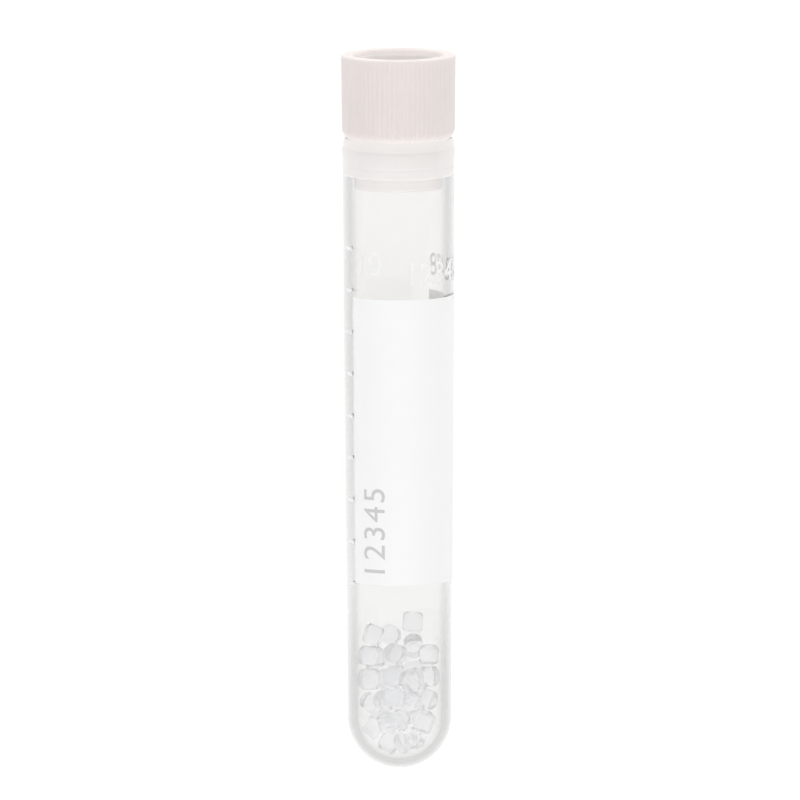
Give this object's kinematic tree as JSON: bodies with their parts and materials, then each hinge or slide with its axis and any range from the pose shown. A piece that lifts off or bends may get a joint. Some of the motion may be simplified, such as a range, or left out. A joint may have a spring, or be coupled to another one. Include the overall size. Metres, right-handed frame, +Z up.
{
  "type": "blood collection tube",
  "caption": "Round-ended clear plastic tube with a ribbed push stopper, a wrapped white label and loose clear clotting granules inside.",
  "frame": {"origin": "on the surface that the tube lies on, below the middle of its length and width", "axes": "+X along the tube towards the stopper, +Z up with the front of the label on top, +Y to the side of the graduations"},
  "size_m": [0.1076, 0.017, 0.0172],
  "materials": {
    "clear_plastic": "clear moulded polystyrene, glossy",
    "stopper_plastic": "pale moulded polyethylene, satin",
    "label_paper": "smooth matt white paper",
    "granule_plastic": "clear polystyrene pellets, glossy"
  },
  "bodies": {
    "tube": {"tube": "clear_plastic", "label": "label_paper", "granule_01": "granule_plastic", "granule_02": "granule_plastic", "granule_03": "granule_plastic", "granule_04": "granule_plastic", "granule_05": "granule_plastic", "granule_06": "granule_plastic", "granule_07": "granule_plastic", "granule_08": "granule_plastic", "granule_09": "granule_plastic", "granule_10": "granule_plastic", "granule_11": "granule_plastic", "granule_12": "granule_plastic", "granule_13": "granule_plastic", "granule_14": "granule_plastic", "granule_15": "granule_plastic", "granule_16": "granule_plastic", "granule_17": "granule_plastic", "granule_18": "granule_plastic", "granule_19": "granule_plastic", "granule_20": "granule_plastic", "granule_21": "granule_plastic", "granule_22": "granule_plastic", "granule_23": "granule_plastic", "granule_24": "granule_plastic", "granule_25": "granule_plastic", "granule_26": "granule_plastic", "granule_27": "granule_plastic", "granule_28": "granule_plastic", "granule_29": "granule_plastic", "granule_30": "granule_plastic", "granule_31": "granule_plastic", "granule_32": "granule_plastic", "granule_33": "granule_plastic", "granule_34": "granule_plastic", "granule_35": "granule_plastic", "granule_36": "granule_plastic"},
    "stopper": {"stopper": "stopper_plastic"}
  },
  "joints": [
    {"name": "stopper_pull", "type": "slide", "parent": "tube", "child": "stopper", "axis": [1, 0, 0.0099], "range_m": [0, 0.025]}
  ]
}
